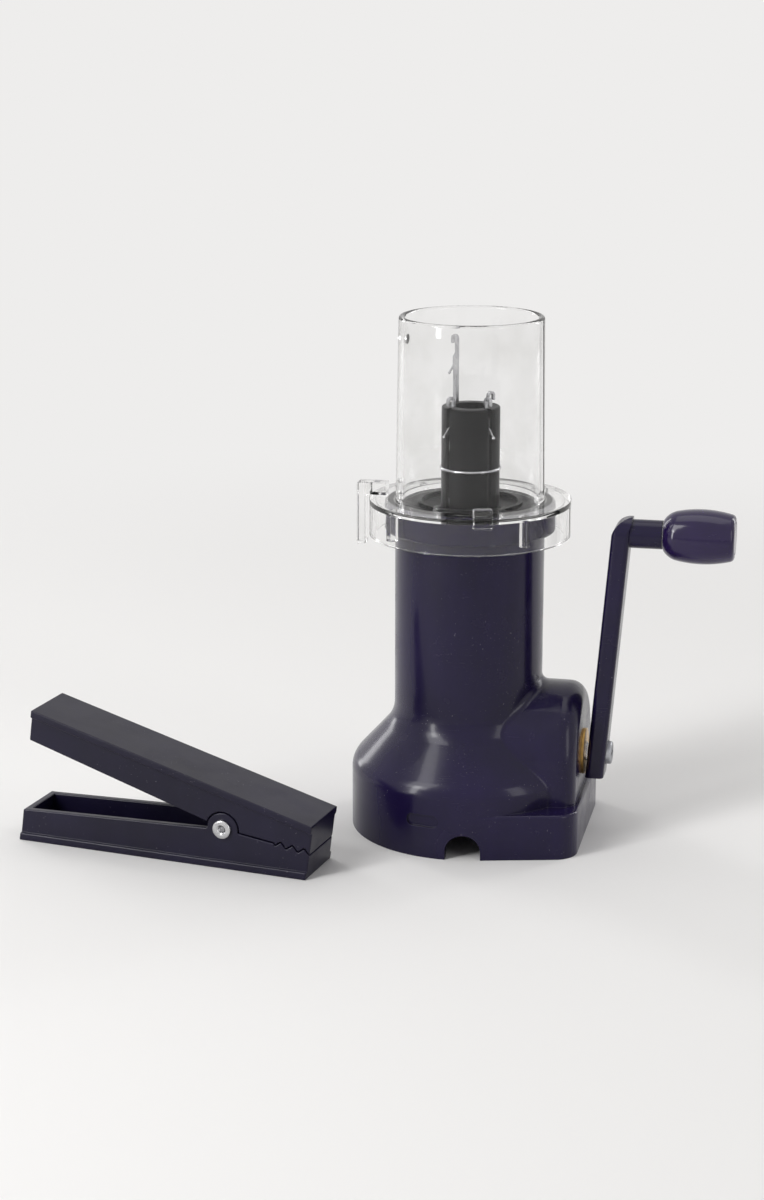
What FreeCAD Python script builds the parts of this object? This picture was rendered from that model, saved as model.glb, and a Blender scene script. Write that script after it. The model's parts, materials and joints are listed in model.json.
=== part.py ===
import FreeCAD, Part
import math
import os

# Hand-cranked i-cord mill with its weight clip. Millimetres, +Z up.
# Origin: the knitting axis where it meets the table. +X points to the crank, -Y to the front.

V = FreeCAD.Vector
ORIGIN = V(0, 0, 0)
RIGHT = V(1, 0, 0)
BACK = V(0, 1, 0)
UP = V(0, 0, 1)

# ---- overall ----
total_height = 135.0
shaft_height = 21.5

# ---- fits ----
running_fit = 0.06          # radial, a shaft in its bearing
loose_fit = 0.15            # between fixed pieces that drop into each other
face_gap = 0.1              # between flat faces that slide on each other
moving_gap = 0.3            # between pieces that pass each other
bury = 0.2                  # how far a feature starts inside the piece it grows from
small_round = 0.5

# ---- housing ----
housing_wall = 2.2
foot_radius = 30.5
foot_height = 11.8
foot_end = 32.0             # flat end under the crank
foot_corner_radius = 6.5
foot_corner_y = 18.5
shoulder_start = 15.5       # height where the foot wall starts to lean in
shoulder_slope = 42.0       # degrees from vertical
shoulder_convex = 6.0
shoulder_concave = 9.0
body_radius = 19.3
collar_radius = 22.0
collar_top = 86.4
collar_height = 6.4
collar_bottom = collar_top - collar_height
edge_round = 0.8
bulge_radius = 18.4         # round gear case about the crank shaft
bulge_end = 30.8
bulge_edge_round = 4.5
bulge_blend = 2.0           # fillet where the gear case meets the body
shaft_boss_radius = 6.8
shaft_boss_start = 18.9
cord_notch_width = 9.0
cord_notch_height = 6.6
cord_notch_x = 4.0
dimple_angle = 257.5
dimple_width = 8.6
dimple_height = 3.2
dimple_depth = 0.9
dimple_z = 9.8

# ---- bottom cover and its screws ----
cover_plate_bottom = 7.0
cover_plate_thickness = 2.4
cord_bore_radius = 4.8
bearing_wall = 2.0
bearing_height = 5.6
screw_circle = 23.5
screw_angles = [62.0, 118.0, 242.0, 298.0]
screw_boss_radius = 3.4
screw_boss_top = 26.0
screw_radius = 1.4
screw_clearance = 0.2
screw_head_radius = 2.7
screw_head_height = 1.6
screw_sink = 1.2
screw_length = 9.5
recess_slot = 0.7           # cross recess in a screw head
recess_depth = 0.9
recess_share = 0.62         # of the head's radius

# ---- gears ----
gear_module = 1.5
pinion_teeth = 12
crown_teeth = 18
pressure_angle = 20.0
tooth_half = 0.90           # half thickness on the pitch line, with backlash
addendum = 1.3
dedendum = 1.75
gear_face = 3.1
crown_web = 3.0
crown_hub_radius = 9.8
crown_hub_height = 4.0
pinion_hub_radius = 5.0
crown_root = shaft_height + gear_module * pinion_teeth / 2 + dedendum
crown_top = crown_root + crown_web + crown_hub_height

# ---- top cap ----
cap_thickness = 2.4
cap_radius = 19.6
cap_hole_gap = 0.5
cap_ring_radius = 13.5
cap_ring_width = 1.2
cap_ring_height = 1.2
cap_dish = 1.1

# ---- cam sleeve ----
sleeve_wall = 1.8
sleeve_lift = 4.05          # above the crown gear's hub
sleeve_bottom = crown_top + sleeve_lift
sleeve_base = 6.4           # solid sleeve under the track
track_floor = sleeve_bottom + sleeve_base
sleeve_top_gap = 5.0        # to the top cap
sleeve_top = collar_top - cap_thickness - sleeve_top_gap
sleeve_ledge_height = 2.0
sleeve_ledge_width = 1.2
track_floor_gap = 0.3
needle_foot = track_floor + track_floor_gap
track_height = 4.6
cam_peak_half = 3.0
cam_foot_half = 15.0

# ---- needle cylinder ----
cylinder_radius = 7.5
cylinder_bore = 4.6
cylinder_rise = 25.6        # above the collar's top
cylinder_top = collar_top + cylinder_rise
cylinder_shoulder_radius = 9.4
cylinder_shoulder_height = 2.0
groove_floor = 5.3
groove_width = 1.2
groove_room = 4.0           # below the lowest needle's foot
ring_drop = 16.0            # below the cylinder's top
ring_height = cylinder_top - ring_drop
ring_wire = 0.4             # radius of the wire that keeps the needles in

# ---- needles: a hook, a latch and a butt ----
needle_count = 4
first_needle_angle = 140.0
needle_travel = 14.5
needle_proud = 3.0          # of a low needle above the cylinder
needle_low_top = cylinder_top + needle_proud
needle_length = needle_low_top - needle_foot
groove_bottom = needle_foot - groove_room
needle_thickness = 0.9
needle_back = 5.45          # radius of the needle's inner face
stem_depth = 1.3
shank_depth = 0.65
hook_radius = 1.15
hook_drop = 1.25
hook_straight = 4.0         # plain shank below the hook's tip
cheek_above = 1.6
cheek_below = 1.6
cheek_depth = 1.5
cheek_taper = 1.0
butt_height = 3.0
butt_reach = 11.3
latch_pivot_drop = 7.2
latch_pivot_out = 0.8
latch_length = 4.3
latch_width = 0.7
latch_thickness = 0.3
latch_slot = 0.46
latch_slot_run = 1.2        # past the cheeks, at each end
latch_open = 125.0
latch_lean = 14.0           # degrees off vertical when it closes the hook
rivet_radius = 0.22
spoon_radius = 0.42

# ---- crank ----
shaft_radius = 2.5
shaft_square = 3.4
bushing_wall = 2.0
bushing_flange_radius = 6.0
bushing_flange = 0.6
washer_thickness = 0.5
washer_radius = 5.5
throw = 59.0
arm_thickness = 4.8
arm_width = 9.0
arm_lean = 5.3              # how far the arm's top stands further out than its foot
arm_foot = 6.0              # from the shaft's axis down to the squared end
arm_edge_round = 1.3
arm_bend = 6.0
neck_radius = 3.7
neck_length = 8.0
neck_root = 2.0             # how far the neck starts inside the arm
crank_screw_radius = 1.2
crank_screw_head = 3.0
crank_screw_head_height = 1.8
crank_screw_length = 9.0

# ---- knob ----
knob_length = 18.0
knob_start_radius = 4.1
knob_shoulder_radius = 6.4
knob_max_radius = 7.0
knob_end_radius = 6.1
knob_swell_share = 0.08        # stations, as shares of the knob's length
knob_shoulder_share = 0.2
knob_max_share = 0.5
knob_end_share = 0.93
knob_rim_share = 0.982
knob_swell = 1.45
knob_rim_round = 0.5
knob_face_round = 1.4
knob_axle_radius = 2.0
knob_axle_head = 3.5
knob_axle_head_height = 1.6
knob_cap_radius = 4.2
knob_cap_height = 1.3
knob_axle_grip = 6.5        # how deep the axle sits in the neck

# ---- clear cover ----
tube_wall = 1.5
tube_top_radius = 18.5
tube_foot_radius = 19.2
flange_radius = 26.0
flange_thickness = 1.6
skirt_wall = 1.6
skirt_drop = 7.8            # from the collar's top to the skirt's rim
skirt_bottom = collar_top - skirt_drop
centring_rib_width = 1.6
centring_ribs = 4
centring_rib_lift = 1.0     # above the skirt's rim
lug_angle = 287.0
lug_width = 4.8
lug_height = 5.0
lug_proud = 0.8
lug_above = 2.5
lug_root = 2.4              # how far it reaches in over the flange
guide_width = 4.4
guide_bar = 2.3
guide_gap = 1.4
guide_drop = 13.2
guide_rise = 3.0
guide_eye = 1.1
guide_root = 4.2            # how far the bridge reaches in over the flange
guide_round = 0.7
yarn_hole_width = 3.6
yarn_hole_height = 2.4
yarn_hole_drop = 6.5        # below the tube's rim
yarn_hole_z = total_height - yarn_hole_drop

# ---- weight clip ----
clip_pivot_x = -53.0
clip_pivot_y = -40.0
clip_turn = -9.0            # degrees about +Z
clip_handle = 56.0          # pivot to the handle's end
clip_jaw = 24.0             # pivot to the jaw's end
clip_width = 17.0
clip_lip = 0.8              # how far the outer plate stands past the side walls
clip_plate = 2.0
clip_side = 1.8
clip_half_angle = 7.75      # between an outer face and the middle plane
clip_jaw_half = 7.2         # half height at the jaw's end
clip_handle_height = 8.4
clip_gap = 0.15             # from an arm's inner edge to the middle plane
clip_ear_radius = 4.2
clip_ear_gap = 0.3
clip_inner_ear = 1.6
clip_pin_radius = 1.5
clip_pin_head = 2.5
clip_pin_head_height = 0.9
clip_pin_bore = 0.85        # blind hole in the pin's front end
clip_pin_bore_depth = 2.2
clip_pin_bore_flare = 0.45
tooth_depth = 1.5
tooth_pitch = 3.2
jaw_teeth = 3
jaw_block_start = 8.0
spring_wire = 0.6           # wire radius
spring_turns = 3            # in each half
spring_reach = 18.0


# ---------------------------------------------------------------- helpers
def tan(degrees):
    return math.tan(math.radians(degrees))


def sin(degrees):
    return math.sin(math.radians(degrees))


def cos(degrees):
    return math.cos(math.radians(degrees))


def rod(radius, low, high, centre=(0.0, 0.0)):
    """Upright cylinder between two heights."""
    return Part.makeCylinder(radius, high - low, V(centre[0], centre[1], low), UP)


def rod_x(radius, left, right, height=shaft_height):
    """Cylinder along X between two stations, at a height."""
    return Part.makeCylinder(radius, right - left, V(left, 0, height), RIGHT)


def pipe(outer, inner, low, high):
    return rod(outer, low, high).cut(rod(inner, low - 1, high + 1))


def block(x0, x1, y0, y1, z0, z1):
    return Part.makeBox(x1 - x0, y1 - y0, z1 - z0, V(x0, y0, z0))


def face_of(edges):
    return Part.Face(Part.Wire(Part.__sortEdges__(edges)))


def line(a, b):
    return Part.LineSegment(a, b).toShape()


def arc(a, b, c):
    return Part.Arc(a, b, c).toShape()


def loop(points):
    return [line(a, b) for a, b in zip(points, points[1:] + points[:1])]


def lathe(edges):
    """Solid of revolution about Z from edges in the XZ plane."""
    return face_of(edges).revolve(ORIGIN, UP, 360)


def xz(points):
    return [V(x, 0, z) for x, z in points]


def plate_y(edges, half):
    """Extrude an XZ outline to both sides of Y = 0."""
    face = face_of(edges)
    face.translate(V(0, -half, 0))
    return face.extrude(V(0, 2 * half, 0))


def turned(shape, angle, axis=UP, centre=ORIGIN):
    copy = shape.copy()
    copy.rotate(centre, axis, angle)
    return copy


def fused(shapes):
    whole = shapes[0]
    for shape in shapes[1:]:
        whole = whole.fuse(shape)
    return whole.removeSplitter()


def cut_all(shape, tools):
    for tool in tools:
        shape = shape.cut(tool)
    return shape


def rounded(shape, radius, wanted):
    """Fillet the edges that wanted(edge) picks."""
    edges = [edge for edge in shape.Edges if wanted(edge)]
    return shape.makeFillet(radius, edges)


def ring_at(edge, height, slack=1e-3):
    """True for an edge that lies wholly at one height."""
    box = edge.BoundBox
    return abs(box.ZMin - height) < slack and abs(box.ZMax - height) < slack


# ---------------------------------------------------------------- housing
def footprint(inset, low, high):
    """Round foot that straightens into a flat end under the crank."""
    big = foot_radius - inset
    small = foot_corner_radius - inset
    centre_x = foot_end - foot_corner_radius
    centre_y = foot_corner_y
    reach = math.hypot(centre_x, centre_y)
    normal = math.atan2(centre_y, centre_x) + math.acos((big - small) / reach)
    tangent = V(big * math.cos(normal), big * math.sin(normal), low)
    corner = V(centre_x + small * math.cos(normal), centre_y + small * math.sin(normal), low)
    half = normal / 2
    corner_mid = V(centre_x + small * math.cos(half), centre_y + small * math.sin(half), low)
    corner_end = V(centre_x + small, centre_y, low)

    def mirror(point):
        return V(point.x, -point.y, point.z)

    edges = [
        arc(tangent, V(-big, 0, low), mirror(tangent)),
        line(mirror(tangent), mirror(corner)),
        arc(mirror(corner), mirror(corner_mid), mirror(corner_end)),
        line(mirror(corner_end), corner_end),
        arc(corner_end, corner_mid, corner),
        line(corner, tangent),
    ]
    return face_of(edges).extrude(V(0, 0, high - low))


def shoulder(inset, low, high):
    """Lathe of the leaning shoulder and the straight body above it, set in by a wall."""
    wide = foot_radius - inset
    narrow = body_radius - inset
    convex = shoulder_convex - inset
    concave = shoulder_concave + inset
    side = cos(shoulder_slope)
    rise = sin(shoulder_slope)
    run = wide - narrow - (convex + concave) * (1 - side)
    shoulder_end = shoulder_start + (convex + concave) * rise + run * side / rise
    top_mid = shoulder_slope / 2
    start = V(wide, 0, shoulder_start)
    bend = V(wide - convex * (1 - cos(top_mid)), 0, shoulder_start + convex * sin(top_mid))
    slope_start = V(wide - convex * (1 - side), 0, shoulder_start + convex * rise)
    slope_end = V(narrow + concave * (1 - side), 0, shoulder_end - concave * rise)
    sweep = V(narrow + concave * (1 - cos(top_mid)), 0, shoulder_end - concave * sin(top_mid))
    finish = V(narrow, 0, shoulder_end)
    return lathe([
        line(V(0, 0, low), V(wide, 0, low)),
        line(V(wide, 0, low), start),
        arc(start, bend, slope_start),
        line(slope_start, slope_end),
        arc(slope_end, sweep, finish),
        line(finish, V(narrow, 0, high)),
        line(V(narrow, 0, high), V(0, 0, high)),
        line(V(0, 0, high), V(0, 0, low)),
    ])


def gear_case(inset, low):
    """Tombstone-shaped case about the crank shaft, with straight sides down to a height."""
    radius = bulge_radius - inset
    end = bulge_end - inset
    case = rod_x(radius, 0, end).fuse(block(0, end, -radius, radius, low, shaft_height))
    case = case.removeSplitter()
    if inset:
        return case

    def outer_edge(edge):
        box = edge.BoundBox
        return abs(box.XMin - end) < 1e-3 and abs(box.XMax - end) < 1e-3 and box.ZMax > low + 1

    return rounded(case, bulge_edge_round, outer_edge)


def blended_body(high):
    """Leaning body and gear case as one, with a fillet where they meet."""
    body = shoulder(0, 0, high)
    case = gear_case(0, 0)
    skins = [body.Shells[0], case.Shells[0]]

    def between(edge):
        middle = edge.valueAt((edge.FirstParameter + edge.LastParameter) / 2)
        return all(Part.Vertex(middle).distToShape(skin)[0] < 1e-3 for skin in skins)

    return rounded(fused([body, case]), bulge_blend, between)


def screw_places():
    return [(screw_circle * cos(a), screw_circle * sin(a)) for a in screw_angles]


def cord_notch():
    """Arch through the foot's front wall for the cord."""
    half = cord_notch_width / 2
    spring_line = cord_notch_height - half
    left = V(cord_notch_x - half, 0, spring_line)
    right = V(cord_notch_x + half, 0, spring_line)
    foot_left = V(left.x, 0, -1)
    foot_right = V(right.x, 0, -1)
    crown = V(cord_notch_x, 0, cord_notch_height)
    face = face_of([
        line(foot_left, left),
        arc(left, crown, right),
        line(right, foot_right),
        line(foot_right, foot_left),
    ])
    face.translate(V(0, -foot_radius - 1, 0))
    return face.extrude(V(0, foot_radius * 0.5, 0))


def dimple():
    """Shallow oval recess on the foot's front."""
    half = dimple_height / 2
    flat = dimple_width / 2 - half
    depth_start = foot_radius - dimple_depth
    tools = [
        Part.makeCylinder(half, dimple_width, V(depth_start, y, dimple_z), RIGHT) for y in (-flat, flat)
    ]
    tools.append(block(depth_start, depth_start + dimple_width, -flat, flat,
                       dimple_z - half, dimple_z + half))
    return turned(fused(tools), dimple_angle)


def make_housing():
    plate_top = cover_plate_bottom + cover_plate_thickness
    collar = rounded(rod(collar_radius, collar_bottom, collar_top), edge_round,
                     lambda edge: ring_at(edge, collar_top) or ring_at(edge, collar_bottom))
    foot = rounded(footprint(0, 0, foot_height), edge_round,
                   lambda edge: ring_at(edge, foot_height))
    outer = fused([foot, blended_body(collar_bottom + 1), collar])
    inner = fused([
        footprint(housing_wall, -1, foot_height - housing_wall),
        shoulder(housing_wall, -1, collar_top + 1),
        gear_case(housing_wall, -1),
        rod(cap_radius + loose_fit, collar_top - cap_thickness, collar_top + 1),
    ])
    shell = outer.cut(inner)
    bosses = [rod(screw_boss_radius, plate_top, screw_boss_top, place) for place in screw_places()]
    bosses.append(rod_x(shaft_boss_radius, shaft_boss_start, bulge_end - bury))
    inside = body_radius - housing_wall
    bosses.append(pipe(inside + bury, inside - sleeve_ledge_width,
                       sleeve_bottom - sleeve_ledge_height, sleeve_bottom))
    bosses = [boss.common(outer) for boss in bosses]
    shell = fused([shell] + bosses)
    holes = [rod(screw_radius, plate_top - 1, plate_top + screw_length, p) for p in screw_places()]
    holes.append(rod_x(shaft_radius + bushing_wall, shaft_boss_start - 1, bulge_end + 1))
    return cut_all(shell, holes + [cord_notch(), dimple()])


# ---------------------------------------------------------------- bottom cover
def make_bottom_cover():
    low = cover_plate_bottom
    top = low + cover_plate_thickness
    plate = footprint(housing_wall + loose_fit, low, top)
    bearing = rod(cylinder_radius + running_fit + bearing_wall, top, top + bearing_height)
    cover = fused([plate, bearing])
    cuts = [
        rod(cord_bore_radius, low - 1, top + 1),
        rod(cylinder_radius + running_fit, top, top + bearing_height + 1),
    ]
    for place in screw_places():
        cuts.append(rod(screw_radius + screw_clearance, low - 1, top + 1, place))
        cuts.append(rod(screw_head_radius + screw_clearance, low - 1, low + screw_sink, place))
    return cut_all(cover, cuts)


def make_base_screws():
    screws = []
    seat = cover_plate_bottom + screw_sink
    for x, y in screw_places():
        head_bottom = seat - screw_head_height
        head = rod(screw_head_radius, head_bottom, seat, (x, y))
        head = rounded(head, small_round, lambda edge: ring_at(edge, head_bottom))
        shank = rod(screw_radius, seat, cover_plate_bottom + screw_length, (x, y))
        screw = head.fuse(shank).removeSplitter()
        long = screw_head_radius * recess_share
        half = recess_slot / 2
        floor = head_bottom + recess_depth
        for a, b in ((long, half), (half, long)):
            screw = screw.cut(block(x - a, x + a, y - b, y + b, head_bottom - 1, floor))
        screws.append(screw)
    return Part.makeCompound(screws)


# ---------------------------------------------------------------- needle cylinder
def needle_angles():
    return [first_needle_angle + n * 360.0 / needle_count for n in range(needle_count)]


def cap_bottom():
    return collar_top - cap_thickness


def cylinder_bottom():
    return cover_plate_bottom + cover_plate_thickness + face_gap


def ring_centre():
    return cylinder_radius + ring_wire * 0.1


def make_needle_cylinder():
    low = cylinder_bottom()
    shoulder_top = cap_bottom() - moving_gap
    body = rod(cylinder_radius, low, cylinder_top)
    body = rounded(body, small_round, lambda edge: ring_at(edge, cylinder_top))
    body = fused([
        body,
        rod(cylinder_shoulder_radius, shoulder_top - cylinder_shoulder_height, shoulder_top),
    ])
    body = body.cut(rod(cylinder_bore, low - 1, cylinder_top + 1))
    half = groove_width / 2
    slot = block(groove_floor, cylinder_shoulder_radius + 1, -half, half,
                 groove_bottom, cylinder_top + 1)
    body = cut_all(body, [turned(slot, angle) for angle in needle_angles()])
    return body.cut(Part.makeTorus(ring_centre(), ring_wire, V(0, 0, ring_height), UP))


def make_needle_ring():
    return Part.makeTorus(ring_centre(), ring_wire, V(0, 0, ring_height), UP)


# ---------------------------------------------------------------- needles
def latch_pivot(top):
    return V(needle_back + latch_pivot_out, 0, top - latch_pivot_drop)


def make_needle(top):
    """Latch needle in the XZ plane, its hook opening outward along +X."""
    bottom = top - needle_length
    half = needle_thickness / 2
    stem_front = needle_back + stem_depth
    shank_front = needle_back + shank_depth
    centre_r = needle_back + hook_radius
    centre_z = top - hook_radius
    inner = hook_radius - shank_depth
    tip_z = centre_z - hook_drop
    tip_round = shank_depth / 2
    shank_low = tip_z - hook_straight
    far = centre_r + hook_radius
    near = centre_r + inner
    hook = plate_y([
        line(V(needle_back, 0, shank_low), V(needle_back, 0, centre_z)),
        arc(V(needle_back, 0, centre_z), V(centre_r, 0, top), V(far, 0, centre_z)),
        line(V(far, 0, centre_z), V(far, 0, tip_z + tip_round)),
        arc(V(far, 0, tip_z + tip_round), V((far + near) / 2, 0, tip_z), V(near, 0, tip_z + tip_round)),
        line(V(near, 0, tip_z + tip_round), V(near, 0, centre_z)),
        arc(V(near, 0, centre_z), V(centre_r, 0, centre_z + inner), V(shank_front, 0, centre_z)),
        line(V(shank_front, 0, centre_z), V(shank_front, 0, shank_low)),
        line(V(shank_front, 0, shank_low), V(needle_back, 0, shank_low)),
    ], half)
    pivot = latch_pivot(top)
    cheek_top = pivot.z + cheek_above
    cheek_low = pivot.z - cheek_below
    cheek_front = needle_back + cheek_depth
    body = plate_y(loop(xz([
        (needle_back, bottom),
        (butt_reach, bottom),
        (butt_reach, bottom + butt_height),
        (stem_front, bottom + butt_height),
        (stem_front, cheek_low - cheek_taper),
        (cheek_front, cheek_low),
        (cheek_front, cheek_top),
        (shank_front, cheek_top + cheek_taper),
        (needle_back, cheek_top + cheek_taper),
    ])), half)
    needle = fused([hook, body])
    slot_half = latch_slot / 2
    slot_back = pivot.x - latch_width / 2 - running_fit
    slot = block(slot_back, cheek_front + 1, -slot_half, slot_half,
                 cheek_low - latch_slot_run, cheek_top + latch_slot_run)
    rivet = Part.makeCylinder(rivet_radius, needle_thickness, V(pivot.x, -half, pivot.z), BACK)
    return fused([needle.cut(slot), rivet])


def make_latch(top):
    """Latch in the open position, hanging outward and down from its rivet."""
    pivot = latch_pivot(top)
    half = latch_thickness / 2
    wide = latch_width / 2
    blade = plate_y(loop(xz([
        (-wide, 0), (wide, 0), (wide * 0.6, latch_length - 0.6), (-wide * 0.6, latch_length - 0.6),
    ])), half)
    eye = Part.makeCylinder(wide, latch_thickness, V(0, -half, 0), BACK)
    spoon = Part.makeSphere(spoon_radius, V(0, 0, latch_length - spoon_radius))
    latch = fused([blade, eye, spoon])
    latch = latch.cut(Part.makeCylinder(rivet_radius + running_fit, 2, V(0, -1, 0), BACK))
    latch.rotate(ORIGIN, BACK, latch_lean + latch_open)
    latch.translate(pivot)
    return latch


def needle_tops():
    """The first needle stands on the cam's peak, the others low."""
    lifts = [needle_travel] + [0.0] * (needle_count - 1)
    return [needle_low_top + lift for lift in lifts]


# ---------------------------------------------------------------- cam sleeve
def cam_outline(floor, peak, far):
    """Hill outline, base at floor and flat top at peak, closed along far."""
    return loop([
        V(0, -cam_foot_half, far), V(0, -cam_foot_half, floor), V(0, -cam_peak_half, peak),
        V(0, cam_peak_half, peak), V(0, cam_foot_half, floor), V(0, cam_foot_half, far),
    ])


def make_cam_sleeve():
    outer = body_radius - housing_wall - loose_fit
    groove = outer - sleeve_wall
    inner = butt_reach + moving_gap
    floor = track_floor
    peak = floor + needle_travel
    wall = pipe(outer, groove - 0.01, sleeve_bottom, sleeve_top)
    lower = pipe(groove, inner, sleeve_bottom, floor)
    hill = face_of(cam_outline(floor, peak, floor - 1)).extrude(V(groove, 0, 0))
    hill = turned(hill, first_needle_angle).common(pipe(groove, inner, floor - 1, sleeve_top))
    upper = pipe(groove, inner, floor + track_height, sleeve_top)
    valley = face_of(cam_outline(floor + track_height, peak + track_height, floor)).extrude(
        V(groove + 1, 0, 0))
    upper = upper.cut(turned(valley, first_needle_angle))
    return fused([wall, lower, hill, upper])


# ---------------------------------------------------------------- top cap
def make_top_cap():
    low = cap_bottom()
    hole = cylinder_radius + cap_hole_gap
    ring_inner = cap_ring_radius - cap_ring_width
    return lathe(loop(xz([
        (hole, low),
        (cap_radius, low),
        (cap_radius, collar_top),
        (cap_ring_radius, collar_top),
        (cap_ring_radius, collar_top + cap_ring_height),
        (ring_inner, collar_top + cap_ring_height),
        (ring_inner, collar_top),
        (hole, collar_top - cap_dish),
    ])))


# ---------------------------------------------------------------- gears
def pitch_radius(teeth):
    return gear_module * teeth / 2


def rack_half(height):
    """Half thickness of a rack tooth at a height above its pitch line, tip upward."""
    return tooth_half - height * tan(pressure_angle)


def crown_span():
    middle = pitch_radius(crown_teeth)
    return middle - gear_face / 2, middle + gear_face / 2


def make_crown_gear():
    """Face gear with its teeth hanging down onto the pinion."""
    root = crown_root
    tip = crown_root - dedendum - addendum
    inner, outer = crown_span()
    inner -= moving_gap
    outer += moving_gap
    wheel = fused([
        rod(outer, root, root + crown_web),
        rod(crown_hub_radius, root + crown_web, crown_top),
    ])
    wheel = wheel.cut(rod(cylinder_radius, root - 1, crown_top + 1))
    wide = rack_half(-dedendum)
    narrow = rack_half(addendum)
    outline = [V(inner, -wide, root + bury), V(inner, wide, root + bury), V(inner, wide, root),
               V(inner, narrow, tip), V(inner, -narrow, tip), V(inner, -wide, root)]
    tooth = face_of(loop(outline)).extrude(V(outer - inner - bury, 0, 0))
    step = 360.0 / crown_teeth
    teeth = [turned(tooth, (k + 0.5) * step) for k in range(crown_teeth)]
    return fused([wheel] + teeth)


def make_drive_pinion():
    """Pinion on the crank shaft, one tooth straight up."""
    pitch = pitch_radius(pinion_teeth)
    root = pitch - dedendum
    left, right = crown_span()
    wide = rack_half(-dedendum)
    narrow = rack_half(addendum)
    sunk = root - 3 * bury
    outline = [V(left, -wide, sunk), V(left, wide, sunk), V(left, wide, root),
               V(left, narrow, pitch + addendum), V(left, -narrow, pitch + addendum),
               V(left, -wide, root)]
    tooth = face_of(loop(outline)).extrude(V(right - left, 0, 0))
    step = 360.0 / pinion_teeth
    teeth = [turned(tooth, k * step, RIGHT) for k in range(pinion_teeth)]
    core = Part.makeCylinder(root, right - left, V(left, 0, 0), RIGHT)
    hub_end = shaft_boss_start - face_gap - washer_thickness
    hub = Part.makeCylinder(pinion_hub_radius, hub_end - right, V(right, 0, 0), RIGHT)
    pinion = fused([core, hub] + teeth)
    pinion = pinion.cut(Part.makeCylinder(shaft_radius, hub_end, ORIGIN, RIGHT))
    pinion.translate(V(0, 0, shaft_height))
    return pinion


# ---------------------------------------------------------------- crank
def arm_inner():
    """Station of the arm's inner face at the shaft."""
    return bulge_end + bushing_flange + moving_gap


def make_shaft_bushing():
    outer = shaft_radius + bushing_wall
    bushing = fused([
        rod_x(outer, shaft_boss_start, bulge_end),
        rod_x(bushing_flange_radius, bulge_end, bulge_end + bushing_flange),
    ])
    return bushing.cut(rod_x(shaft_radius + running_fit, shaft_boss_start - 1, bulge_end + 1))


def make_thrust_washer():
    right = shaft_boss_start - face_gap
    washer = rod_x(washer_radius, right - washer_thickness, right)
    return washer.cut(rod_x(shaft_radius, right - 1, right + 1))


def shaft_end():
    return arm_inner() + arm_thickness


def make_crank_shaft():
    left = crown_span()[0] - 2 * moving_gap
    round_end = arm_inner()
    half = shaft_square / 2
    square = block(round_end, shaft_end(), -half, half, shaft_height - half, shaft_height + half)
    shaft = fused([rod_x(shaft_radius, left, round_end), square])
    return shaft.cut(rod_x(crank_screw_radius, shaft_end() - crank_screw_length, shaft_end() + 1))


def rounded_bar(left, right, half, radius, low, rise, out):
    """Upright bar with rounded long edges, leaning out along +X by out over its rise."""
    x0, x1 = left + radius, right - radius
    y = half - radius
    near = radius * (1 - cos(45))
    face = face_of([
        line(V(x0, -half, low), V(x1, -half, low)),
        arc(V(x1, -half, low), V(right - near, -half + near, low), V(right, -y, low)),
        line(V(right, -y, low), V(right, y, low)),
        arc(V(right, y, low), V(right - near, half - near, low), V(x1, half, low)),
        line(V(x1, half, low), V(x0, half, low)),
        arc(V(x0, half, low), V(left + near, half - near, low), V(left, y, low)),
        line(V(left, y, low), V(left, -y, low)),
        arc(V(left, -y, low), V(left + near, -half + near, low), V(x0, -half, low)),
    ])
    return face.extrude(V(out, 0, rise))


def make_crank_arm():
    inner = arm_inner()
    outer = inner + arm_thickness
    half = arm_width / 2
    low = shaft_height - arm_foot
    axis = shaft_height + throw
    top = axis + half
    slope = arm_lean / (throw + arm_foot)
    top_out = slope * (top - low)
    bend_z = top - arm_bend
    bend_x = inner + slope * (bend_z - low)
    mid = V(bend_x + arm_bend * (1 - cos(45)), 0, top - arm_bend * (1 - cos(45)))
    bend_end = V(bend_x + arm_bend, 0, top)
    far = V(outer + top_out + 1, 0, top)
    side = plate_y([
        line(V(inner - 1, 0, low), V(far.x, 0, low)),
        line(V(far.x, 0, low), far),
        line(far, bend_end),
        arc(bend_end, mid, V(bend_x, 0, bend_z)),
        line(V(bend_x, 0, bend_z), V(bend_x - 1, 0, bend_z - 1)),
        line(V(bend_x - 1, 0, bend_z - 1), V(inner - 1, 0, low)),
    ], arm_width)
    front = rod_x(half, 0, far.x, axis).fuse(block(0, far.x, -half, half, low, axis))
    arm = rounded_bar(inner, outer, half, arm_edge_round, low, top - low, top_out)
    arm = arm.common(side).common(front)
    arm = fused([arm, rod_x(neck_radius, outer + arm_lean - neck_root, neck_end(), axis)])
    hole = shaft_square / 2
    return cut_all(arm, [
        block(inner - 1, shaft_end(), -hole, hole, shaft_height - hole, shaft_height + hole),
        rod_x(crank_screw_head + screw_clearance, shaft_end(), shaft_end() + arm_thickness),
        rod_x(knob_axle_radius, neck_end() - knob_axle_grip, neck_end() + 1, axis),
    ])


def neck_end():
    return arm_inner() + arm_thickness + arm_lean + neck_length


def make_crank_screw():
    seat = shaft_end()
    head = rod_x(crank_screw_head, seat, seat + crank_screw_head_height)
    outer = seat + crank_screw_head_height
    head = rounded(head, small_round, lambda edge: edge.BoundBox.XMin > outer - 1e-3)
    screw = fused([head, rod_x(crank_screw_radius, seat - crank_screw_length, seat)])
    long = crank_screw_head * recess_share
    half = recess_slot / 2
    floor = outer - recess_depth
    for a, b in ((long, half), (half, long)):
        screw = screw.cut(block(floor, outer + 1, -a, a, shaft_height - b, shaft_height + b))
    return screw


# ---------------------------------------------------------------- knob
def knob_start():
    return neck_end() + moving_gap


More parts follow.
